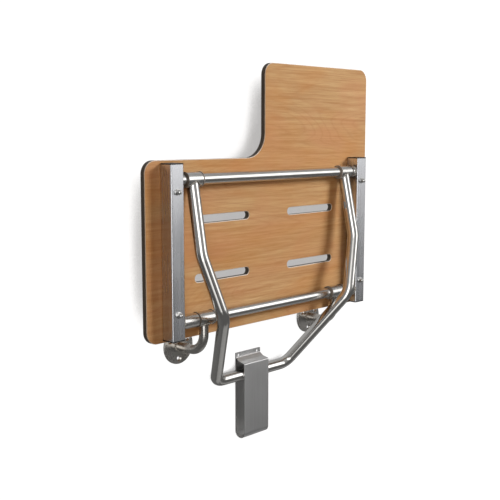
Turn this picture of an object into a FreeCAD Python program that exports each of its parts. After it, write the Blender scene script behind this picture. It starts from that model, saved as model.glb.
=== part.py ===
"""Wall-mounted folding shower seat with an L-shaped top, stowed upright.

Millimetres. +Z is up, the wall is the plane y = 0 and the room is on its -Y side.
The origin lies on the wall, midway between the two screw holes of the foot guide.
"""
import FreeCAD, Part
import math
import os

Vector = FreeCAD.Vector
X_AXIS = Vector(1, 0, 0)
Y_AXIS = Vector(0, 1, 0)
Z_AXIS = Vector(0, 0, 1)
SIDES = {"left": -1, "right": 1}

# --- linkage -------------------------------------------------------------------------
HINGE_Y = -80.9             # fold axis, in front of the wall
HINGE_Z = 123.0
PIVOT_RISE = 277.0          # leg pivot above the fold axis, seat stowed
FOOT_Y = -14.7              # foot bar axis, which stays in the guide
LEG_REACH = 445.6           # leg pivot to foot bar
FOLD_DEG = 92.0             # seat down, tipped two degrees past level to shed water

# --- seat panel ------------------------------------------------------------------------
PANEL_WIDTH = 672.0
PANEL_DEPTH = 352.8         # the full-width part
PANEL_LONG_DEPTH = 550.6    # the long part, at the right
PANEL_LONG_WIDTH = 348.0
PANEL_THICK = 12.7
PANEL_FRONT_Y = -65.0       # face that lies on the rails
PANEL_BOTTOM_Z = 84.9
PANEL_CORNER_R = 25.4
PANEL_INNER_R = 50.8
PANEL_CHAMFER = 1.1
SLOT_LENGTH = 152.4
SLOT_WIDTH = 16.0
SLOT_X = 136.0
SLOT_HEIGHTS = (201.0, 318.7)

# --- side rails --------------------------------------------------------------------------
RAIL_X = 282.4
RAIL_SIZE = 31.75
RAIL_WALL = 1.65
RAIL_CORNER_R = 2.5
RAIL_BOTTOM_Z = 92.6
RAIL_TOP_Z = 430.0
CAP_THICK = 2.6
CAP_EDGE_R = 0.6
CAP_PLUG_LENGTH = 12.0
CAP_PLUG_WALL = 2.0
CAP_PLUG_GAP = 0.08

# --- cross tubes, sleeves and bushes ------------------------------------------------------
TUBE_R = 11.1
TUBE_WALL = 1.65
SLEEVE_R = 14.3
SLEEVE_BORE_R = 12.7
BUSH_R = 12.68
BUSH_BORE_R = 11.18
BUSH_LENGTH = 16.0
BUSH_FLANGE_R = 15.25
BUSH_FLANGE_THICK = 1.6
HINGE_SLEEVE_X = 204.5
HINGE_SLEEVE_LENGTH = 40.0
COLLAR_X = 232.5
COLLAR_LENGTH = 38.1
SPACER_END_GAP = 0.4        # running gap beside the hinge bush's flange

# --- wall arms and flanges ---------------------------------------------------------------
ARM_Z = 52.5
ARM_TUBE_R = 9.525
ARM_BEND_R = 38.1
FLANGE_R = 38.1
FLANGE_THICK = 4.0
FLANGE_EDGE_R = 1.0
FLANGE_HOLE_COUNT = 3
FLANGE_HOLE_PCD = 52.8
FLANGE_HOLE_R = 3.3
COUNTERSINK_R = 6.2

# --- support leg -------------------------------------------------------------------------
LEG_TUBE_R = 12.7
LEG_UPPER_BEND = Vector(235.7, -110.7, 255.0)
LEG_MIDDLE_BEND = Vector(195.6, -130.3, 129.0)
LEG_CORNER_X = 110.5
LEG_BEND_RADII = (60.0, 45.0, 30.0)
FOOT_BAR_HALF = 41.0        # half length of the bar that slides in the guide
FOOT_BAR_GAP = 0.3

# --- foot guide --------------------------------------------------------------------------
GUIDE_WIDTH = 76.2
GUIDE_SHEET = 1.6
GUIDE_TAB_TOP_Z = 6.3
GUIDE_TAB_FOLD_Z = -5.0
GUIDE_SLOPE_FOOT = (-12.5, -11.5)
GUIDE_SHELF_Z = -14.5
GUIDE_FRONT_Y = -29.4
GUIDE_FOLD_RADII = (3.0, 3.0, 2.4)
GUIDE_FOOT_R = 13.0
GUIDE_FOOT_GAP = 0.4        # under the foot bar, seat down
GUIDE_LAYER_GAP = 0.05
GUIDE_HOLE_R = 4.0
GUIDE_HOLE_X = 29.0

# --- fasteners through the panel and the rails -------------------------------------------
BOLT_HEIGHTS = (142.5, 378.5)
BOLT_R = 3.0
BOLT_HOLE_R = 3.2
BOLT_HEAD_R = 6.0
BOLT_HEAD_DEPTH = 3.3
BOLT_SOCKET_ACROSS = 4.0
BOLT_SOCKET_DEPTH = 2.2
BOLT_END_GAP = 1.0          # left free in the nut
WASHER_R = 6.4
WASHER_THICK = 1.2
NUT_ACROSS = 10.6
NUT_BASE = 4.4
NUT_DOME_R = 4.9
NUT_DOME_RISE = 4.4
NUT_BEVEL_R = 6.9
NUT_BORE_DEPTH = 6.4
FIT_GAP = 0.05
HEX_SIDES = 6

# --- derived -----------------------------------------------------------------------------
PIVOT_Z = HINGE_Z + PIVOT_RISE
PANEL_BACK_Y = PANEL_FRONT_Y + PANEL_THICK
RAIL_Y = PANEL_FRONT_Y - RAIL_SIZE / 2
RAIL_FACE_Y = PANEL_FRONT_Y - RAIL_SIZE
CROSS_HALF = RAIL_X - RAIL_SIZE / 2
STOWED_DROP = math.sqrt(LEG_REACH ** 2 - (FOOT_Y - HINGE_Y) ** 2)
FOOT_Z = PIVOT_Z - STOWED_DROP
FOLD = math.radians(FOLD_DEG)
LOW_PIVOT_Y = HINGE_Y - PIVOT_RISE * math.sin(FOLD)
LOW_PIVOT_Z = HINGE_Z + PIVOT_RISE * math.cos(FOLD)
FOOT_LOW_Z = LOW_PIVOT_Z - math.sqrt(LEG_REACH ** 2 - (FOOT_Y - LOW_PIVOT_Y) ** 2)


def cylinder(radius, start, direction, length):
    return Part.makeCylinder(radius, length, start, direction)


def union(shapes):
    joined = shapes[0]
    for shape in shapes[1:]:
        joined = joined.fuse(shape)
    return joined.removeSplitter()


def corner_arc(before, corner, after, radius):
    """The arc that rounds a corner, with its two tangent points."""
    into = (corner - before).normalize()
    out = (after - corner).normalize()
    half_turn = into.getAngle(out) / 2
    reach = radius * math.tan(half_turn)
    start = corner - into * reach
    end = corner + out * reach
    inward = (out - into).normalize()
    middle = corner + inward * (radius / math.cos(half_turn) - radius)
    return start, Part.Arc(start, middle, end).toShape(), end


def rounded_path(points, radii):
    """An open wire along the points, each inner point rounded by its radius."""
    edges = []
    last = points[0]
    for before, corner, after, radius in zip(points, points[1:], points[2:], radii):
        start, arc, end = corner_arc(before, corner, after, radius)
        edges += [Part.LineSegment(last, start).toShape(), arc]
        last = end
    edges.append(Part.LineSegment(last, points[-1]).toShape())
    return Part.Wire(edges)


def rounded_outline(points, radii):
    """A closed face through the points, each one rounded by its radius."""
    count = len(points)
    corners = [corner_arc(points[i - 1], points[i], points[(i + 1) % count], radii[i])
               for i in range(count)]
    edges = []
    for i in range(count):
        start, arc, end = corners[i]
        following_start = corners[(i + 1) % count][0]
        edges += [arc, Part.LineSegment(end, following_start).toShape()]
    return Part.Face(Part.Wire(edges))


def square_outline(x, y, z, size, corner_r):
    """A horizontal square face with rounded corners, centred on (x, y) at height z."""
    half = size / 2
    signs = ((-1, -1), (1, -1), (1, 1), (-1, 1))
    points = [Vector(x + sx * half, y + sy * half, z) for sx, sy in signs]
    return rounded_outline(points, [corner_r] * len(points))


def tube(points, radii, radius):
    """A hollow round tube along a rounded path."""
    path = rounded_path(points, radii)
    direction = points[1] - points[0]

    def sweep(r):
        circle = Part.Wire(Part.makeCircle(r, points[0], direction))
        return path.makePipeShell([circle], True, False)

    return sweep(radius).cut(sweep(radius - TUBE_WALL))


def ring(outer_r, inner_r, start, direction, length):
    """A straight round sleeve, washer or bush body."""
    return cylinder(outer_r, start, direction, length).cut(
        cylinder(inner_r, start, direction, length))


def hexagon(across_flats, centre, depth):
    """A hexagonal prism that points to -Y from its centre."""
    corner = across_flats / math.sqrt(3)
    angles = [2 * math.pi * i / HEX_SIDES for i in range(HEX_SIDES + 1)]
    points = [centre + Vector(math.cos(a), 0, math.sin(a)) * corner for a in angles]
    return Part.Face(Part.makePolygon(points)).extrude(Vector(0, -depth, 0))


# --- seat -----------------------------------------------------------------------------

def bolt_places():
    """Centres of the four through bolts on the rails' axes."""
    return [(side * RAIL_X, z) for side in SIDES.values() for z in BOLT_HEIGHTS]


def drain_slot(x, z):
    """The cutter of one stadium-shaped slot."""
    half_length = SLOT_LENGTH / 2
    half_width = SLOT_WIDTH / 2
    y = PANEL_FRONT_Y
    end = half_length - half_width
    edges = [
        Part.LineSegment(Vector(x - end, y, z - half_width), Vector(x + end, y, z - half_width)),
        Part.Arc(Vector(x + end, y, z - half_width), Vector(x + half_length, y, z),
                 Vector(x + end, y, z + half_width)),
        Part.LineSegment(Vector(x + end, y, z + half_width), Vector(x - end, y, z + half_width)),
        Part.Arc(Vector(x - end, y, z + half_width), Vector(x - half_length, y, z),
                 Vector(x - end, y, z - half_width)),
    ]
    return Part.Face(Part.Wire([e.toShape() for e in edges])).extrude(Vector(0, PANEL_THICK, 0))


def seat_panel():
    """L-shaped solid laminate with eased edges, drain slots and countersunk bolt holes."""
    left = -PANEL_WIDTH / 2
    right = PANEL_WIDTH / 2
    inner = right - PANEL_LONG_WIDTH
    low = PANEL_BOTTOM_Z
    shoulder = low + PANEL_DEPTH
    high = low + PANEL_LONG_DEPTH
    outline = ((left, low), (right, low), (right, high), (inner, high), (inner, shoulder),
               (left, shoulder))
    points = [Vector(x, PANEL_FRONT_Y, z) for x, z in outline]
    radii = [PANEL_CORNER_R] * 4 + [PANEL_INNER_R, PANEL_CORNER_R]
    panel = rounded_outline(points, radii).extrude(Vector(0, PANEL_THICK, 0))
    for side in SIDES.values():
        for z in SLOT_HEIGHTS:
            panel = panel.cut(drain_slot(side * SLOT_X, z))
    rims = [edge for edge in panel.Edges if edge.BoundBox.YLength < FIT_GAP]
    panel = panel.makeChamfer(PANEL_CHAMFER, rims)
    for x, z in bolt_places():
        hole = cylinder(BOLT_HOLE_R, Vector(x, PANEL_FRONT_Y, z), Y_AXIS, PANEL_THICK)
        countersink = Part.makeCone(BOLT_HEAD_R + FIT_GAP, BOLT_HOLE_R,
                                    BOLT_HEAD_DEPTH - FIT_GAP,
                                    Vector(x, PANEL_BACK_Y, z), -Y_AXIS)
        panel = panel.cut(hole).cut(countersink)
    return panel


def rail(side):
    """Square tube behind the panel, drilled for its two bolts."""
    x = side * RAIL_X
    length = Vector(0, 0, RAIL_TOP_Z - RAIL_BOTTOM_Z)
    outer = square_outline(x, RAIL_Y, RAIL_BOTTOM_Z, RAIL_SIZE, RAIL_CORNER_R)
    inner = square_outline(x, RAIL_Y, RAIL_BOTTOM_Z, RAIL_SIZE - 2 * RAIL_WALL,
                           RAIL_CORNER_R - RAIL_WALL)
    body = outer.extrude(length).cut(inner.extrude(length))
    for z in BOLT_HEIGHTS:
        body = body.cut(cylinder(BOLT_HOLE_R, Vector(x, RAIL_FACE_Y, z), Y_AXIS, RAIL_SIZE))
    return body


def rail_cap(side, end_z, outward):
    """End cap: a plate over the rail's end and a hollow plug inside the rail."""
    x = side * RAIL_X
    plug_size = RAIL_SIZE - 2 * (RAIL_WALL + CAP_PLUG_GAP)
    plug_r = RAIL_CORNER_R - RAIL_WALL
    plate = square_outline(x, RAIL_Y, end_z, RAIL_SIZE, RAIL_CORNER_R)
    plate = plate.extrude(Z_AXIS * (outward * CAP_THICK))
    outer_z = end_z + outward * CAP_THICK
    rim = [edge for edge in plate.Edges
           if abs(edge.BoundBox.ZMin - outer_z) < FIT_GAP and edge.BoundBox.ZLength < FIT_GAP]
    plate = plate.makeFillet(CAP_EDGE_R, rim)
    inward = Z_AXIS * (-outward * CAP_PLUG_LENGTH)
    plug = square_outline(x, RAIL_Y, end_z, plug_size, plug_r).extrude(inward)
    hollow = square_outline(x, RAIL_Y, end_z, plug_size - 2 * CAP_PLUG_WALL, plug_r)
    return union([plate, plug.cut(hollow.extrude(inward))])


def cross_tube(z):
    """Round tube between the two rails."""
    return tube([Vector(-CROSS_HALF, HINGE_Y, z), Vector(CROSS_HALF, HINGE_Y, z)], [], TUBE_R)


def seat_bolt(x, z):
    """Countersunk socket bolt from the sitting face, through the panel and the rail."""
    length = PANEL_BACK_Y - RAIL_FACE_Y + WASHER_THICK + NUT_BORE_DEPTH - BOLT_END_GAP
    top = Vector(x, PANEL_BACK_Y, z)
    shank = cylinder(BOLT_R, top, -Y_AXIS, length)
    head = Part.makeCone(BOLT_HEAD_R, BOLT_R, BOLT_HEAD_DEPTH, top, -Y_AXIS)
    socket = hexagon(BOLT_SOCKET_ACROSS, top, BOLT_SOCKET_DEPTH)
    return union([shank, head]).cut(socket)


def washer(x, z):
    return ring(WASHER_R, BOLT_HOLE_R, Vector(x, RAIL_FACE_Y, z), -Y_AXIS, WASHER_THICK)


def cap_nut(x, z):
    """Hexagonal nut with a closed dome, blind-bored for the bolt's end."""
    seat_y = RAIL_FACE_Y - WASHER_THICK
    seat = Vector(x, seat_y, z)
    dome_base = Vector(x, seat_y - NUT_BASE, z)
    bevelled = Part.makeCone(NUT_BEVEL_R, NUT_DOME_R, NUT_BASE, seat, -Y_AXIS)
    base = hexagon(NUT_ACROSS, seat, NUT_BASE).common(bevelled)
    sphere_r = (NUT_DOME_R ** 2 + NUT_DOME_RISE ** 2) / (2 * NUT_DOME_RISE)
    centre = dome_base + Vector(0, sphere_r - NUT_DOME_RISE, 0)
    dome = Part.makeSphere(sphere_r, centre)
    dome = dome.common(cylinder(2 * NUT_DOME_R, dome_base, -Y_AXIS, 2 * NUT_DOME_RISE))
    bore = cylinder(BOLT_R + FIT_GAP, seat, -Y_AXIS, NUT_BORE_DEPTH)
    return union([base, dome]).cut(bore)


# --- hinge sleeves, collars and their bushes -------------------------------------------

def sleeve(side, centre_x, length, z):
    """Plain sleeve around a cross tube."""
    start = Vector(side * centre_x - length / 2, HINGE_Y, z)
    return ring(SLEEVE_R, SLEEVE_BORE_R, start, X_AXIS, length)


def hinge_spacer(side):
    """Thick sleeve on the hinge tube that keeps the rail clear of the hinge sleeve."""
    sleeve_end = HINGE_SLEEVE_X + HINGE_SLEEVE_LENGTH / 2
    near = sleeve_end + BUSH_FLANGE_THICK + SPACER_END_GAP
    start = Vector(side * near, HINGE_Y, HINGE_Z)
    return ring(SLEEVE_R, BUSH_BORE_R, start, X_AXIS * side, CROSS_HALF - near)


def flanged_bush(face_x, outward, z):
    """Bush pushed into a sleeve's end, its flange against the sleeve's face."""
    face = Vector(face_x, HINGE_Y, z)
    direction = X_AXIS * outward
    body = ring(BUSH_R, BUSH_BORE_R, face, -direction, BUSH_LENGTH)
    flange = ring(BUSH_FLANGE_R, BUSH_BORE_R, face, direction, BUSH_FLANGE_THICK)
    return union([body, flange])


# --- wall arms --------------------------------------------------------------------------

def wall_arm(side):
    """Tube from under the hinge sleeve, bent back to the wall flange."""
    x = side * HINGE_SLEEVE_X
    points = [Vector(x, HINGE_Y, HINGE_Z), Vector(x, HINGE_Y, ARM_Z),
              Vector(x, -FLANGE_THICK, ARM_Z)]
    coping = cylinder(SLEEVE_R, Vector(x - SLEEVE_R, HINGE_Y, HINGE_Z), X_AXIS, 2 * SLEEVE_R)
    return tube(points, [ARM_BEND_R], ARM_TUBE_R).cut(coping)


def wall_flange(side):
    """Round plate with three countersunk screw holes, one straight below the arm."""
    x = side * HINGE_SLEEVE_X
    front = Vector(x, -FLANGE_THICK, ARM_Z)
    plate = cylinder(FLANGE_R, front, Y_AXIS, FLANGE_THICK)
    rim = [edge for edge in plate.Edges if abs(edge.BoundBox.YMin + FLANGE_THICK) < FIT_GAP
           and edge.BoundBox.YLength < FIT_GAP]
    plate = plate.makeFillet(FLANGE_EDGE_R, rim)
    for i in range(FLANGE_HOLE_COUNT):
        angle = 2 * math.pi * i / FLANGE_HOLE_COUNT - math.pi / 2
        place = front + Vector(math.cos(angle), 0, math.sin(angle)) * (FLANGE_HOLE_PCD / 2)
        hole = cylinder(FLANGE_HOLE_R, place, Y_AXIS, FLANGE_THICK)
        sink = COUNTERSINK_R - FLANGE_HOLE_R
        countersink = Part.makeCone(COUNTERSINK_R, FLANGE_HOLE_R, sink, place, Y_AXIS)
        plate = plate.cut(hole).cut(countersink)
    return plate


# --- support leg -----------------------------------------------------------------------

def leg_tube(side):
    """Bent tube from the collar down to the foot bar."""
    mirror = FreeCAD.Matrix()
    mirror.A11 = side
    points = [Vector(COLLAR_X, HINGE_Y, PIVOT_Z), LEG_UPPER_BEND, LEG_MIDDLE_BEND,
              Vector(LEG_CORNER_X, FOOT_Y, FOOT_Z), Vector(FOOT_BAR_HALF, FOOT_Y, FOOT_Z)]
    points = [mirror * point for point in points]
    start = Vector(side * COLLAR_X - COLLAR_LENGTH / 2, HINGE_Y, PIVOT_Z)
    coping = cylinder(SLEEVE_R, start, X_AXIS, COLLAR_LENGTH)
    return tube(points, LEG_BEND_RADII, LEG_TUBE_R).cut(coping)


def foot_bar():
    """The middle of the leg's bottom run, which slides up and down in the guide."""
    half = FOOT_BAR_HALF - FOOT_BAR_GAP
    return tube([Vector(-half, FOOT_Y, FOOT_Z), Vector(half, FOOT_Y, FOOT_Z)], [], LEG_TUBE_R)


# --- foot guide ------------------------------------------------------------------------

def foot_guide():
    """One folded sheet: tab, slope, shelf, front, round foot and back against the wall."""
    half = GUIDE_SHEET / 2
    tab_y = -GUIDE_SHEET - GUIDE_LAYER_GAP - half
    front_y = GUIDE_FRONT_Y + half
    bottom_z = FOOT_LOW_Z - LEG_TUBE_R - GUIDE_FOOT_GAP - half
    profile = ((tab_y, GUIDE_TAB_TOP_Z), (tab_y, GUIDE_TAB_FOLD_Z),
               GUIDE_SLOPE_FOOT, (front_y, GUIDE_SHELF_Z),
               (front_y, bottom_z), (-half, bottom_z), (-half, GUIDE_TAB_TOP_Z))
    path = rounded_path([Vector(0, y, z) for y, z in profile],
                        (*GUIDE_FOLD_RADII, GUIDE_FOOT_R, GUIDE_FOOT_R))
    corners = [Vector(sx * GUIDE_WIDTH / 2, tab_y + sy * half, GUIDE_TAB_TOP_Z)
               for sx, sy in ((-1, -1), (1, -1), (1, 1), (-1, 1), (-1, -1))]
    sheet = path.makePipeShell([Part.makePolygon(corners)], True, False)
    depth = 2 * GUIDE_SHEET + GUIDE_LAYER_GAP
    for side in SIDES.values():
        start = Vector(side * GUIDE_HOLE_X, -depth, 0)
        sheet = sheet.cut(cylinder(GUIDE_HOLE_R, start, Y_AXIS, depth))
    return sheet


def nodes():
    """Every node's name and shape."""
    shapes = {
        "seat_panel": seat_panel(),
        "hinge_cross_tube": cross_tube(HINGE_Z),
        "front_cross_tube": cross_tube(PIVOT_Z),
        "seat_bolts": Part.makeCompound([seat_bolt(x, z) for x, z in bolt_places()]),
        "seat_bolt_washers": Part.makeCompound([washer(x, z) for x, z in bolt_places()]),
        "seat_cap_nuts": Part.makeCompound([cap_nut(x, z) for x, z in bolt_places()]),
        "foot_bar": foot_bar(),
        "foot_guide": foot_guide(),
    }
    for name, side in SIDES.items():
        shapes[f"{name}_rail"] = rail(side)
        shapes[f"{name}_rail_top_cap"] = rail_cap(side, RAIL_TOP_Z, 1)
        shapes[f"{name}_rail_bottom_cap"] = rail_cap(side, RAIL_BOTTOM_Z, -1)
        shapes[f"{name}_wall_flange"] = wall_flange(side)
        shapes[f"{name}_wall_arm"] = wall_arm(side)
        shapes[f"{name}_hinge_sleeve"] = sleeve(side, HINGE_SLEEVE_X, HINGE_SLEEVE_LENGTH,
                                                HINGE_Z)
        shapes[f"{name}_hinge_spacer"] = hinge_spacer(side)
        shapes[f"{name}_leg_collar"] = sleeve(side, COLLAR_X, COLLAR_LENGTH, PIVOT_Z)
        shapes[f"{name}_leg_tube"] = leg_tube(side)
        for end, outward in (("inner", -side), ("outer", side)):
            hinge_x = side * HINGE_SLEEVE_X + outward * HINGE_SLEEVE_LENGTH / 2
            collar_x = side * COLLAR_X + outward * COLLAR_LENGTH / 2
            shapes[f"{name}_hinge_bush_{end}"] = flanged_bush(hinge_x, outward, HINGE_Z)
            shapes[f"{name}_collar_bush_{end}"] = flanged_bush(collar_x, outward, PIVOT_Z)
    return shapes


os.makedirs("parts", exist_ok=True)
for node_name, node_shape in nodes().items():
    node_shape.exportStep(f"parts/{node_name}.step")
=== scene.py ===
"""Looks for a wall-mounted folding shower seat.

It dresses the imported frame's nodes in their finishes, adds the weld beads, and sets up the studio and camera.
"""

import math

import bmesh
import bpy
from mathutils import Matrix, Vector


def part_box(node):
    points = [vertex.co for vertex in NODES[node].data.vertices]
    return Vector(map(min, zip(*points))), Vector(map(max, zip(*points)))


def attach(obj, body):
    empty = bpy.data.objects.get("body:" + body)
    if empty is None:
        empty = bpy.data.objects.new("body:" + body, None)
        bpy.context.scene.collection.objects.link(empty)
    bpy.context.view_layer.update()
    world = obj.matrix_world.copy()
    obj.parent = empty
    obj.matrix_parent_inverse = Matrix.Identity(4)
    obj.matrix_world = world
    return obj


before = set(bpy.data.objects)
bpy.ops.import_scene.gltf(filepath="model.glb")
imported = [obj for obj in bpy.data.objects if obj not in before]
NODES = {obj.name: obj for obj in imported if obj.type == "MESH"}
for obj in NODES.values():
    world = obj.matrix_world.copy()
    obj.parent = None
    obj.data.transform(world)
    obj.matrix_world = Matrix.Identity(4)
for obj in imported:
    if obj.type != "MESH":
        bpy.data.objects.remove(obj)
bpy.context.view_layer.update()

X_AXIS, Y_AXIS, Z_AXIS = Vector((1, 0, 0)), Vector((0, 1, 0)), Vector((0, 0, 1))
MIX_FACTOR, MIX_A, MIX_B, MIX_RESULT = 0, 6, 7, 2

# The panel's faces and chamfers, told apart by how closely their normal follows y.
FACE_LEAN = 0.92
CHAMFER_LEAN = 0.4
GROWTH_RINGS = 26.0

# Colours, linear. A metal's are its light and dark streaks.
TUBE_LIGHT, TUBE_DARK = (0.70, 0.685, 0.66), (0.56, 0.545, 0.52)
# The arms' and flanges' steel is coloured darker than the tubes' as painted shade for their place close in by
# the wall.
ARM_SHADED_LIGHT, ARM_SHADED_DARK = (0.6, 0.575, 0.54), (0.44, 0.42, 0.39)
RAIL_LIGHT, RAIL_DARK = (0.72, 0.725, 0.745), (0.62, 0.625, 0.645)
GUIDE_LIGHT, GUIDE_DARK = (0.74, 0.735, 0.73), (0.62, 0.615, 0.61)
BRIGHT_LIGHT, BRIGHT_DARK = (0.76, 0.75, 0.73), (0.62, 0.61, 0.59)
WELD_LIGHT, WELD_DARK = (0.56, 0.53, 0.48), (0.36, 0.33, 0.29)
WOOD_DARK, WOOD_TAN, WOOD_LIGHT = (0.37, 0.193, 0.078), (0.50, 0.322, 0.156), (0.63, 0.45, 0.245)
WOOD_WARM, WOOD_PINK = (0.5, 0.22, 0.06), (0.53, 0.26, 0.14)
WOOD_LINE, WOOD_THREAD, WOOD_PORE = (0.36, 0.15, 0.055), (0.35, 0.155, 0.055), (0.24, 0.105, 0.036)
CORE_DARK, CORE_LIGHT = (0.07, 0.068, 0.064), (0.12, 0.115, 0.108)
# Pale chamfer colours: a painted highlight along the panel's edges.
CHAMFER_HIGHLIGHT_DARK, CHAMFER_HIGHLIGHT_LIGHT = (0.66, 0.6, 0.54), (0.84, 0.79, 0.73)
BACKDROP_DARK, BACKDROP_LIGHT = (0.08, 0.08, 0.08), (0.1, 0.1, 0.1)
WHITE = (1.0, 1.0, 1.0)

# How much finer the brushing is across each axis: the low one is the way it runs.
BRUSHED_ALONG_X, BRUSHED_ALONG_Z = (8, 260, 260), (260, 260, 8)
RAIL_BRUSHING, GUIDE_BRUSHING = (170, 170, 5), (240, 240, 6)
SLEEVE_BRUSHING, ARM_BRUSHING, FASTENER_BRUSHING = (60, 240, 240), (200, 120, 200), (300, 300, 300)
STEEL_RELIEF = 0.000012
RAIL_RELIEF = 0.000005

# Weld beads, metres.
BEAD_R = 0.0019
BEAD_RIPPLE = 0.16
BEAD_RIPPLE_PITCH = 0.0026
BEAD_STEPS_PER_RIPPLE = 6
BEAD_SIDES = 10
LEG_END_REACH = 0.02        # how far down from its top a leg tube's vertices are taken as its end

# Studio, metres and degrees. Azimuth 0 is straight out from the wall, and 90 is to the left.
SEAT_HEIGHT = 0.48          # from the floor to the lowered seat's top
SEAT_TOP_Z = 0.152          # the lowered seat's top in the row frame
FLOOR_Z = SEAT_TOP_Z - SEAT_HEIGHT
COVE_R = 0.12
COVE_STEPS = 16
COVE_GAP = 0.0006           # keeps the backdrop off the flanges' backs
COVE_HALF_WIDTH = 9.0
COVE_DEPTH = 9.0
COVE_TOP_Z = 6.0
# The backdrop's glow is dimmed by ambient occlusion: a painted contact shadow on the wall and floor.
PAINTED_SHADOW_REACH = 0.3
PAINTED_SHADOW_AO_RANGE = (0.26, 0.38)     # how open the wall is where its painted shadow is deepest and where that shadow ends
# glow of the backdrop in its deepest painted shadow
PAINTED_SHADOW_GLOW = 0.46
LIGHT_DISTANCE = 4.0
LIGHT_AIM = Vector((0, -0.09, 0.22))
LIGHT_SIZE = (1.3, 1.3)
# Each modelling light: its azimuth, elevation, radiance and colour.
MODELLING_LIGHTS = {
    "key_soft_box": (-42, 26, 25.0, (1.0, 1.01, 1.04)),
    "fill_soft_box": (42, 10, 2.3, (1.0, 0.7, 0.42)),
    "wall_side_soft_box": (180, 12, 9.0, (1.0, 0.95, 0.88)),
}
WARM_BOUNCE = (0.5, 0.31, 0.16)     # tint of the room's light on what isn't metal
# Each soft box seen in the metal: its strength, then its azimuth, elevation, half width, half height
# and soft edges across and upward.
ROOM_SOFT_BOXES = (
    (2.4, (-42, 14, 13, 14, 5, 8)),
    (2.6, (40, 3, 14, 23, 5, 12)),
    (0.26, (-80, -58, 13, 12, 7, 8)),
)

CAMERA_PLACE = (-1.3375, -1.3312, 0.4887)
CAMERA_DIP = 7.7336
CAMERA_TURN = -45.3165
CAMERA_LENS = 62.04
CAMERA_SENSOR = 36.0


# ---- shader helpers ----

def add(tree, kind, sockets=None, **settings):
    """One shader node, with each named socket linked to an output or set to a value."""
    made = tree.nodes.new("ShaderNode" + kind)
    for key, value in settings.items():
        setattr(made, key, value)
    for socket, value in (sockets or {}).items():
        if isinstance(value, bpy.types.NodeSocket):
            tree.links.new(value, made.inputs[socket])
        else:
            made.inputs[socket].default_value = value
    return made


def rgb(red, green, blue):
    """A linear colour with full alpha."""
    return (red, green, blue, 1.0)


def math_of(tree, operation, first, second=0.0, third=0.0):
    """The output of one Math node."""
    return add(tree, "Math", {0: first, 1: second, 2: third}, operation=operation).outputs[0]


def mix(tree, factor, first, second):
    """The first colour at factor 0 and the second at 1."""
    sockets = {MIX_FACTOR: factor, MIX_A: first, MIX_B: second}
    return add(tree, "Mix", sockets, data_type="RGBA").outputs[MIX_RESULT]


def remap(tree, value, low, high, to_low, to_high):
    """value carried from the range low..high to to_low..to_high, and held at its ends."""
    sockets = {"Value": value, "From Min": low, "From Max": high, "To Min": to_low, "To Max": to_high}
    return add(tree, "MapRange", sockets).outputs["Result"]


def ramp(tree, value, *stops):
    """A colour ramp through (position, colour) stops."""
    made = add(tree, "ValToRGB", {"Fac": value})
    elements = made.color_ramp.elements
    elements[0].position, elements[0].color = stops[0]
    elements[-1].position, elements[-1].color = stops[-1]
    for position, colour in stops[1:-1]:
        elements.new(position).color = colour
    return made.outputs["Color"]


def stretched(tree, across=(1, 1, 1)):
    """Object coordinates in metres, times a scale for each axis: a small scale draws the pattern out."""
    place = add(tree, "TexCoord").outputs["Object"]
    return add(tree, "Mapping", {"Vector": place, "Scale": across}).outputs["Vector"]


def noise(tree, vector, scale, detail=3.0, roughness=0.55, distortion=0.0):
    """Fractal noise from 0 to 1."""
    sockets = {
        "Vector": vector, "Scale": scale, "Detail": detail,
        "Roughness": roughness, "Distortion": distortion,
    }
    return add(tree, "TexNoise", sockets).outputs["Fac"]


def bump(tree, height, strength, distance):
    """A normal tilted by height, distance being the full relief in metres."""
    sockets = {"Height": height, "Strength": strength, "Distance": distance}
    return add(tree, "Bump", sockets).outputs["Normal"]


def new_material(name):
    """A material holding one Principled shader: (material, tree, shader)."""
    material = bpy.data.materials.new(name)
    material.use_nodes = True
    tree = material.node_tree
    tree.nodes.clear()
    shader = add(tree, "BsdfPrincipled")
    add(tree, "OutputMaterial", {"Surface": shader.outputs["BSDF"]})
    return material, tree, shader


def feed(tree, shader, **sockets):
    """Links or sets the shader's sockets, named with _ for a space."""
    for name, value in sockets.items():
        socket = shader.inputs[name.replace("_", " ")]
        if isinstance(value, bpy.types.NodeSocket):
            tree.links.new(value, socket)
        else:
            socket.default_value = value


# ---- finishes ----

def brushed_steel(name, light, dark, grain, roughness, relief=STEEL_RELIEF):
    """Stainless steel brushed along one way. grain holds the pattern's scale along x, y and z."""
    material, tree, shader = new_material(name)
    lines = noise(tree, stretched(tree, grain), 1.0, detail=1.0, roughness=0.5)
    smears = noise(tree, stretched(tree), 12.0, detail=2.0)
    handled = noise(tree, stretched(tree), 18.0, detail=1.0, roughness=0.5)
    fine, broad = math_of(tree, "MULTIPLY", lines, 0.4), math_of(tree, "MULTIPLY", smears, 0.6)
    tone = math_of(tree, "ADD", fine, broad)
    streaked = remap(tree, lines, 0.3, 0.7, roughness - 0.02, roughness + 0.03)
    smeared = remap(tree, handled, 0.35, 0.7, -0.015, 0.025)
    feed(
        tree, shader, Base_Color=ramp(tree, tone, (0.25, rgb(*dark)), (0.75, rgb(*light))), Metallic=1.0,
        Roughness=math_of(tree, "ADD", streaked, smeared), Normal=bump(tree, lines, 0.6, relief),
    )
    return material


def panel_masks(tree):
    """Where the panel's flat faces are, and where its chamfers are, from the surface's own normal."""
    normal = add(tree, "NewGeometry").outputs["True Normal"]
    own = add(
        tree, "VectorTransform", {"Vector": normal},
        vector_type="NORMAL", convert_from="WORLD", convert_to="OBJECT",
    ).outputs["Vector"]
    lean = math_of(tree, "ABSOLUTE", add(tree, "SeparateXYZ", {"Vector": own}).outputs["Y"])
    face = math_of(tree, "GREATER_THAN", lean, FACE_LEAN)
    beyond_wall = math_of(tree, "GREATER_THAN", lean, CHAMFER_LEAN)
    return face, math_of(tree, "SUBTRACT", beyond_wall, face)


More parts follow.
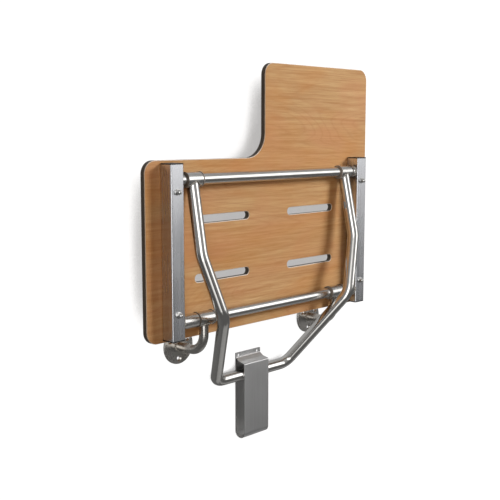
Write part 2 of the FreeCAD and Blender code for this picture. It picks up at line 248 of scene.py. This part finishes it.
def wood_print(tree):
    """The laminate's printed timber: fine streaks along x, warm zones, arched growth lines and pores."""
    streaks = noise(tree, stretched(tree, (4, 30, 130)), 1.0, detail=7.0, roughness=0.7, distortion=0.3)
    threads = noise(tree, stretched(tree, (22, 40, 420)), 1.0, detail=3.0, roughness=0.6)
    zones = noise(tree, stretched(tree, (3, 4, 8)), 1.0, detail=3.0, distortion=0.8)
    blush = noise(tree, stretched(tree, (5, 4, 9)), 1.3, detail=2.0, distortion=0.4)
    pores = noise(tree, stretched(tree, (110, 60, 1100)), 1.0, detail=2.0)
    swell = noise(tree, stretched(tree, (1.7, 1, 9)), 1.0, detail=1.0, roughness=0.3, distortion=0.3)
    rings = math_of(tree, "FRACT", math_of(tree, "MULTIPLY", swell, GROWTH_RINGS))
    crest = math_of(tree, "MULTIPLY", rings, math_of(tree, "SUBTRACT", 1.0, rings))
    tan = ramp(
        tree, streaks,
        (0.28, rgb(*WOOD_DARK)), (0.5, rgb(*WOOD_TAN)), (0.72, rgb(*WOOD_LIGHT)),
    )
    warm = mix(tree, remap(tree, zones, 0.42, 0.66, 0.0, 0.55), tan, rgb(*WOOD_WARM))
    pinked = mix(tree, remap(tree, blush, 0.45, 0.68, 0.0, 0.4), warm, rgb(*WOOD_PINK))
    lined = mix(tree, remap(tree, crest, 0.0, 0.16, 0.2, 0.0), pinked, rgb(*WOOD_LINE))
    threaded = mix(tree, remap(tree, threads, 0.5, 0.75, 0.0, 0.36), lined, rgb(*WOOD_THREAD))
    colour = mix(tree, remap(tree, pores, 0.64, 0.74, 0.0, 0.35), threaded, rgb(*WOOD_PORE))
    return colour, streaks, threads


def seat_laminate():
    """Compact laminate: timber print on both faces, chamfers coloured pale as a painted highlight, and a dark
    pressed core.
    """
    material, tree, shader = new_material("laminate_timber_print")
    face, chamfer = panel_masks(tree)
    print_colour, streaks, threads = wood_print(tree)
    layers = noise(tree, stretched(tree, (30, 1800, 30)), 1.0, detail=3.0)
    grit = noise(tree, stretched(tree), 900.0, detail=2.0)
    core = ramp(tree, layers, (0.35, rgb(*CORE_DARK)), (0.65, rgb(*CORE_LIGHT)))
    # The chamfers' pale colour is a painted highlight along the panel's edges.
    pale = ramp(tree, grit, (0.35, rgb(*CHAMFER_HIGHLIGHT_DARK)), (0.65, rgb(*CHAMFER_HIGHLIGHT_LIGHT)))
    edge = mix(tree, chamfer, core, pale)
    satin = remap(tree, streaks, 0.3, 0.7, 0.4, 0.5)
    rough = remap(tree, grit, 0.3, 0.7, 0.42, 0.6)
    on_face = math_of(tree, "MULTIPLY", face, satin)
    on_edge = math_of(tree, "MULTIPLY", math_of(tree, "SUBTRACT", 1.0, face), rough)
    feed(
        tree, shader, Base_Color=mix(tree, face, edge, print_colour),
        Roughness=math_of(tree, "ADD", on_face, on_edge),
        IOR=1.45, Specular_IOR_Level=0.3, Normal=bump(tree, threads, 0.1, 0.0001),
    )
    return material


def moulded_plastic(name, dark, light, roughness):
    """Moulded plastic with a fine spark-eroded grain and rubbed, paler patches."""
    material, tree, shader = new_material(name)
    grit = noise(tree, stretched(tree), 900.0, detail=4.0)
    rubbed = noise(tree, stretched(tree), 70.0, detail=5.0, roughness=0.7)
    feed(
        tree, shader, Base_Color=ramp(tree, rubbed, (0.35, rgb(*dark)), (0.75, rgb(*light))),
        Roughness=remap(tree, rubbed, 0.3, 0.7, roughness - 0.1, roughness + 0.08),
        Normal=bump(tree, grit, 0.3, 0.0002),
    )
    return material


def weld_steel():
    """A cleaned weld: duller than the tube, with a straw tint and a pitted skin."""
    material, tree, shader = new_material("weld_bead_steel")
    tint = noise(tree, stretched(tree), 160.0, detail=3.0)
    pits = noise(tree, stretched(tree), 1400.0, detail=3.0)
    colour = ramp(tree, tint, (0.35, rgb(*WELD_DARK)), (0.65, rgb(*WELD_LIGHT)))
    feed(
        tree, shader, Base_Color=colour, Metallic=1.0,
        Roughness=remap(tree, tint, 0.3, 0.7, 0.3, 0.46), Normal=bump(tree, pits, 0.35, 0.0002),
    )
    return material


def finishes():
    """The finish for each ending of a CAD node's name."""
    leg = brushed_steel("satin_steel_leg", TUBE_LIGHT, TUBE_DARK, BRUSHED_ALONG_Z, 0.13)
    cross = brushed_steel("satin_steel_cross", TUBE_LIGHT, TUBE_DARK, BRUSHED_ALONG_X, 0.21)
    sleeve = brushed_steel("satin_steel_sleeve", TUBE_LIGHT, TUBE_DARK, SLEEVE_BRUSHING, 0.24)
    # Darker steel for the arms and flanges: painted shade near the wall.
    arm = brushed_steel("satin_steel_arm_shaded", ARM_SHADED_LIGHT, ARM_SHADED_DARK, ARM_BRUSHING, 0.28)
    rail = brushed_steel("brushed_steel_rail", RAIL_LIGHT, RAIL_DARK, RAIL_BRUSHING, 0.25, RAIL_RELIEF)
    guide = brushed_steel("brushed_steel_guide", GUIDE_LIGHT, GUIDE_DARK, GUIDE_BRUSHING, 0.38)
    bright = brushed_steel("bright_steel_fastener", BRIGHT_LIGHT, BRIGHT_DARK, FASTENER_BRUSHING, 0.17)
    black = moulded_plastic("black_cap_plastic", (0.008, 0.008, 0.009), (0.03, 0.03, 0.032), 0.45)
    # The outer bushes are coloured darker than the inner ones, partly as dark plastic and partly as painted
    # shade in the gaps at the sleeves' ends.
    dark_shaded_bush = moulded_plastic("dark_bush_plastic", (0.07, 0.06, 0.05), (0.15, 0.13, 0.11), 0.4)
    pale_bush = moulded_plastic("pale_bush_plastic", (0.2, 0.195, 0.185), (0.32, 0.31, 0.3), 0.42)
    return {
        "seat_panel": seat_laminate(),
        "leg_tube": leg,
        "cross_tube": cross, "foot_bar": cross,
        "hinge_sleeve": sleeve, "hinge_spacer": sleeve, "leg_collar": sleeve,
        "wall_flange": arm, "wall_arm": arm,
        "rail": rail, "foot_guide": guide,
        "seat_bolts": bright, "seat_bolt_washers": bright, "seat_cap_nuts": bright,
        "_cap": black, "_outer": dark_shaded_bush, "_inner": pale_bush,
    }


def dress_nodes():
    """Puts each CAD node's finish in its material slots."""
    worn = finishes()
    for name, node in NODES.items():
        ending = max((end for end in worn if name.endswith(end)), key=len)
        for slot in node.material_slots:
            slot.material = worn[ending]


# ---- weld beads ----

def ring_middle(centre, axis, ring_r, saddle_r, outward, lift):
    """A point on the bead's centreline. On a round seat it drops back as lift takes it off the crest."""
    drop = saddle_r - math.sqrt(saddle_r ** 2 - lift ** 2) if saddle_r else 0.0
    return centre + outward * ring_r - axis * drop


def weld_bead(name, body, centre, axis, ring_r, saddle_r, material):
    """A rippled ring of weld around a tube that runs along axis from centre.

    Where the tube meets a round one along x, saddle_r is that one's radius and the ring lies on it.
    """
    start = X_AXIS if abs(axis.x) < 0.5 else Y_AXIS
    side = (start - axis * axis.dot(start)).normalized()
    across = axis.cross(side)
    ripples = round(math.tau * ring_r / BEAD_RIPPLE_PITCH)
    steps = ripples * BEAD_STEPS_PER_RIPPLE
    mesh = bmesh.new()
    rings = []
    for step in range(steps):
        turn = math.tau * step / steps
        outward = side * math.cos(turn) + across * math.sin(turn)
        middle = ring_middle(centre, axis, ring_r, saddle_r, outward, ring_r * math.sin(turn))
        thick = BEAD_R * (1 + BEAD_RIPPLE * math.cos(turn * ripples))
        arounds = [math.tau * corner / BEAD_SIDES for corner in range(BEAD_SIDES)]
        reaches = [outward * math.cos(around) + axis * math.sin(around) for around in arounds]
        rings.append([mesh.verts.new(middle + reach * thick) for reach in reaches])
    for ring, after in zip(rings, rings[1:] + rings[:1]):
        for corner in range(BEAD_SIDES):
            nearby = (corner + 1) % BEAD_SIDES
            mesh.faces.new((ring[corner], ring[nearby], after[nearby], after[corner]))
    bmesh.ops.recalc_face_normals(mesh, faces=mesh.faces)
    bead = object_from(name, mesh, material)
    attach(bead, body)


def object_from(name, mesh, material):
    """A smooth-shaded object made from a bmesh, which is then freed."""
    data = bpy.data.meshes.new(name)
    mesh.to_mesh(data)
    mesh.free()
    data.polygons.foreach_set("use_smooth", [True] * len(data.polygons))
    data.materials.append(material)
    made = bpy.data.objects.new(name, data)
    bpy.context.scene.collection.objects.link(made)
    return made


def middle_of(node):
    """The middle of a CAD node's box."""
    low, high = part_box(node)
    return (low + high) / 2


def radius_of(node, axis):
    """Half the width of a tube node along one axis."""
    low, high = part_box(node)
    return (high - low)[axis] / 2


def rail_welds(material):
    """Where the front cross tube and the hinge spacers meet the rails' inner sides."""
    for side, inward in (("left", 1), ("right", -1)):
        low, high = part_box(side + "_rail")
        rail_x = high.x if side == "left" else low.x
        welded = {"front_cross_tube": "front_cross_tube", "hinge_spacer": side + "_hinge_spacer"}
        for label, tube in welded.items():
            place = middle_of(tube)
            centre = Vector((rail_x, place.y, place.z))
            name = f"{side}_{label}_weld"
            weld_bead(name, "seat_frame", centre, X_AXIS * inward, radius_of(tube, 2), 0.0, material)


def collar_welds(material):
    """Where each leg tube runs up into its collar."""
    for side in ("left", "right"):
        collar, leg = side + "_leg_collar", side + "_leg_tube"
        place, saddle_r = middle_of(collar), radius_of(collar, 2)
        top_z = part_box(leg)[1].z
        end = [v.co for v in NODES[leg].data.vertices if v.co.z > top_z - LEG_END_REACH]
        away = (sum(end, Vector()) / len(end) - place).normalized()
        ring_r = max(abs(corner.x - place.x) for corner in end)
        start = place + away * saddle_r
        weld_bead(side + "_leg_collar_weld", "support_leg", start, away, ring_r, saddle_r, material)


def arm_welds(material):
    """Each wall arm's two ends: under its hinge sleeve and at its flange."""
    for side in ("left", "right"):
        arm = side + "_wall_arm"
        sleeve = middle_of(side + "_hinge_sleeve")
        flange = middle_of(side + "_wall_flange")
        low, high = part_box(arm)
        ring_r = (high.x - low.x) / 2
        saddle_r = radius_of(side + "_hinge_sleeve", 2)
        under = Vector((sleeve.x, sleeve.y, sleeve.z - saddle_r))
        weld_bead(side + "_arm_sleeve_weld", "wall_mount", under, -Z_AXIS, ring_r, saddle_r, material)
        flange_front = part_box(side + "_wall_flange")[0].y
        front = Vector((flange.x, flange_front, flange.z))
        weld_bead(side + "_arm_flange_weld", "wall_mount", front, -Y_AXIS, ring_r, 0.0, material)


# ---- studio ----

def cove_profile():
    """(y, z) points down the wall, around the cove and out over the floor."""
    points = [(COVE_GAP, COVE_TOP_Z)]
    for step in range(COVE_STEPS + 1):
        turn = math.pi / 2 * step / COVE_STEPS
        out, up = COVE_R * (1 - math.cos(turn)), COVE_R * (1 - math.sin(turn))
        points.append((COVE_GAP - out, FLOOR_Z + up))
    points.append((-COVE_DEPTH, FLOOR_Z))
    return points


def cove_material():
    """A glowing white backdrop with a painted contact shadow: its glow is dimmed where the seat closes it in.
    Clear from behind.
    """
    material, tree, shader = new_material("studio_backdrop")
    speckle = noise(tree, stretched(tree), 40.0, detail=4.0)
    # Painted shadow: the glow falls where ambient occlusion finds the seat close by.
    painted_shadow_ao = add(tree, "AmbientOcclusion", {"Distance": PAINTED_SHADOW_REACH}, samples=16).outputs["AO"]
    feed(
        tree, shader, Base_Color=ramp(tree, speckle, (0.3, rgb(*BACKDROP_DARK)), (0.7, rgb(*BACKDROP_LIGHT))),
        Roughness=0.9, Specular_IOR_Level=0.0, Emission_Color=rgb(*WHITE),
        Emission_Strength=remap(tree, painted_shadow_ao, *PAINTED_SHADOW_AO_RANGE, PAINTED_SHADOW_GLOW, 1.0),
    )
    clear = add(tree, "BsdfTransparent")
    behind = add(tree, "NewGeometry").outputs["Backfacing"]
    either = add(tree, "MixShader", {0: behind, 1: shader.outputs["BSDF"], 2: clear.outputs["BSDF"]})
    output = next(n for n in tree.nodes if n.bl_idname == "ShaderNodeOutputMaterial")
    tree.links.new(either.outputs["Shader"], output.inputs["Surface"])
    return material


def build_cove():
    """Wall and floor in one sweep, seen by the camera only."""
    mesh = bmesh.new()
    rows = []
    for y, z in cove_profile():
        rows.append([mesh.verts.new((x, y, z)) for x in (-COVE_HALF_WIDTH, COVE_HALF_WIDTH)])
    for upper, lower in zip(rows, rows[1:]):
        mesh.faces.new((upper[0], lower[0], lower[1], upper[1]))
    cove = object_from("studio_cove", mesh, cove_material())
    cove.visible_diffuse = False
    cove.visible_glossy = False
    cove.visible_transmission = False
    cove.visible_shadow = False


def toward(azimuth, elevation):
    """The unit vector for a direction in degrees."""
    a, e = math.radians(azimuth), math.radians(elevation)
    return Vector((-math.sin(a) * math.cos(e), -math.cos(a) * math.cos(e), math.sin(e)))


def modelling_light(name, azimuth, elevation, radiance, colour):
    """A soft light on the panel. Metal doesn't mirror it: its gleams come from the world."""
    light = bpy.data.lights.new(name, "AREA")
    light.shape = "RECTANGLE"
    light.size, light.size_y = LIGHT_SIZE
    light.color = colour
    light.energy = radiance * math.pi * light.size * light.size_y
    lamp = bpy.data.objects.new(name, light)
    bpy.context.scene.collection.objects.link(lamp)
    out = toward(azimuth, elevation)
    lamp.location = LIGHT_AIM + out * LIGHT_DISTANCE
    lamp.rotation_euler = out.to_track_quat("Z", "Y").to_euler()
    lamp.visible_camera = False
    lamp.visible_glossy = False


def soft_window(tree, value, middle, half, soft):
    """1 within half of middle, falling smoothly to 0 over soft on each side of that edge."""
    away = math_of(tree, "ABSOLUTE", math_of(tree, "SUBTRACT", value, middle))
    sockets = {"Value": away, "From Min": half + soft, "From Max": half - soft, "To Min": 0.0, "To Max": 1.0}
    return add(tree, "MapRange", sockets, interpolation_type="SMOOTHSTEP").outputs["Result"]


def soft_box(tree, way, azimuth, elevation, half_turn, half_rise, soft_turn, soft_rise):
    """How strongly a soft-edged panel of light, given in degrees, shows in each direction."""
    side = toward(azimuth + 90, 0)
    turn = add(tree, "VectorMath", {0: way, 1: side}, operation="DOT_PRODUCT").outputs["Value"]
    ahead = add(tree, "VectorMath", {0: way, 1: toward(azimuth, 0)}, operation="DOT_PRODUCT").outputs["Value"]
    rise = add(tree, "SeparateXYZ", {"Vector": way}).outputs["Z"]
    spans = [math.sin(math.radians(span)) for span in (elevation, half_turn, half_rise, soft_turn, soft_rise)]
    centre, turn_half, rise_half, turn_soft, rise_soft = spans
    across = soft_window(tree, turn, 0.0, turn_half, turn_soft)
    upright = soft_window(tree, rise, centre, rise_half, rise_soft)
    shown = math_of(tree, "MULTIPLY", across, upright)
    return math_of(tree, "MULTIPLY", shown, math_of(tree, "GREATER_THAN", ahead, 0.0))


def room_brightness(tree, way):
    """The plain room and its soft boxes. It is dimmest below and at the far left."""
    apart = add(tree, "SeparateXYZ", {"Vector": way})
    rise, aside, ahead = apart.outputs["Z"], apart.outputs["X"], apart.outputs["Y"]
    upper = remap(tree, rise, 0.05, 0.9, 0.32, 0.46)
    lower = remap(tree, rise, -0.2, 0.0, 0.41, 1.0)
    left = remap(tree, aside, -0.95, -0.55, 0.88, 1.0)
    back = remap(tree, ahead, 0.0, 0.5, 1.0, 1.25)
    by_height, by_side = math_of(tree, "MULTIPLY", upper, lower), math_of(tree, "MULTIPLY", left, back)
    total = math_of(tree, "MULTIPLY", by_height, by_side)
    for strength, place in ROOM_SOFT_BOXES:
        total = math_of(tree, "MULTIPLY_ADD", soft_box(tree, way, *place), strength, total)
    return total


def studio_world():
    """White for the camera, and the studio room for everything else."""
    world = bpy.data.worlds.new("studio_world")
    world.use_nodes = True
    tree = world.node_tree
    tree.nodes.clear()
    way = add(tree, "TexCoord").outputs["Generated"]
    rays = add(tree, "LightPath").outputs
    tint = mix(tree, rays["Is Diffuse Ray"], rgb(*WHITE), rgb(*WARM_BOUNCE))
    around = add(tree, "Background", {"Color": tint, "Strength": room_brightness(tree, way)})
    white = add(tree, "Background", {"Color": rgb(*WHITE), "Strength": 1.0})
    seen = rays["Is Camera Ray"]
    both = add(tree, "MixShader", {0: seen, 1: around.outputs[0], 2: white.outputs[0]})
    add(tree, "OutputWorld", {"Surface": both.outputs["Shader"]})
    bpy.context.scene.world = world


def studio_camera():
    """The photo's camera, fitted to the rails and the panel's corners."""
    lens = bpy.data.cameras.new("studio_camera")
    lens.lens = CAMERA_LENS
    lens.sensor_width = CAMERA_SENSOR
    camera = bpy.data.objects.new("studio_camera", lens)
    bpy.context.scene.collection.objects.link(camera)
    camera.location = CAMERA_PLACE
    camera.rotation_euler = (math.radians(90 - CAMERA_DIP), 0, math.radians(CAMERA_TURN))
    bpy.context.scene.camera = camera


def plain_view():
    """Plain colour, with no film curve."""
    view = bpy.context.scene.view_settings
    view.view_transform = "Standard"
    view.look = "None"


dress_nodes()
bead_material = weld_steel()
rail_welds(bead_material)
collar_welds(bead_material)
arm_welds(bead_material)
build_cove()
for lamp_name, lamp_setting in MODELLING_LIGHTS.items():
    modelling_light(lamp_name, *lamp_setting)
studio_world()
studio_camera()
plain_view()
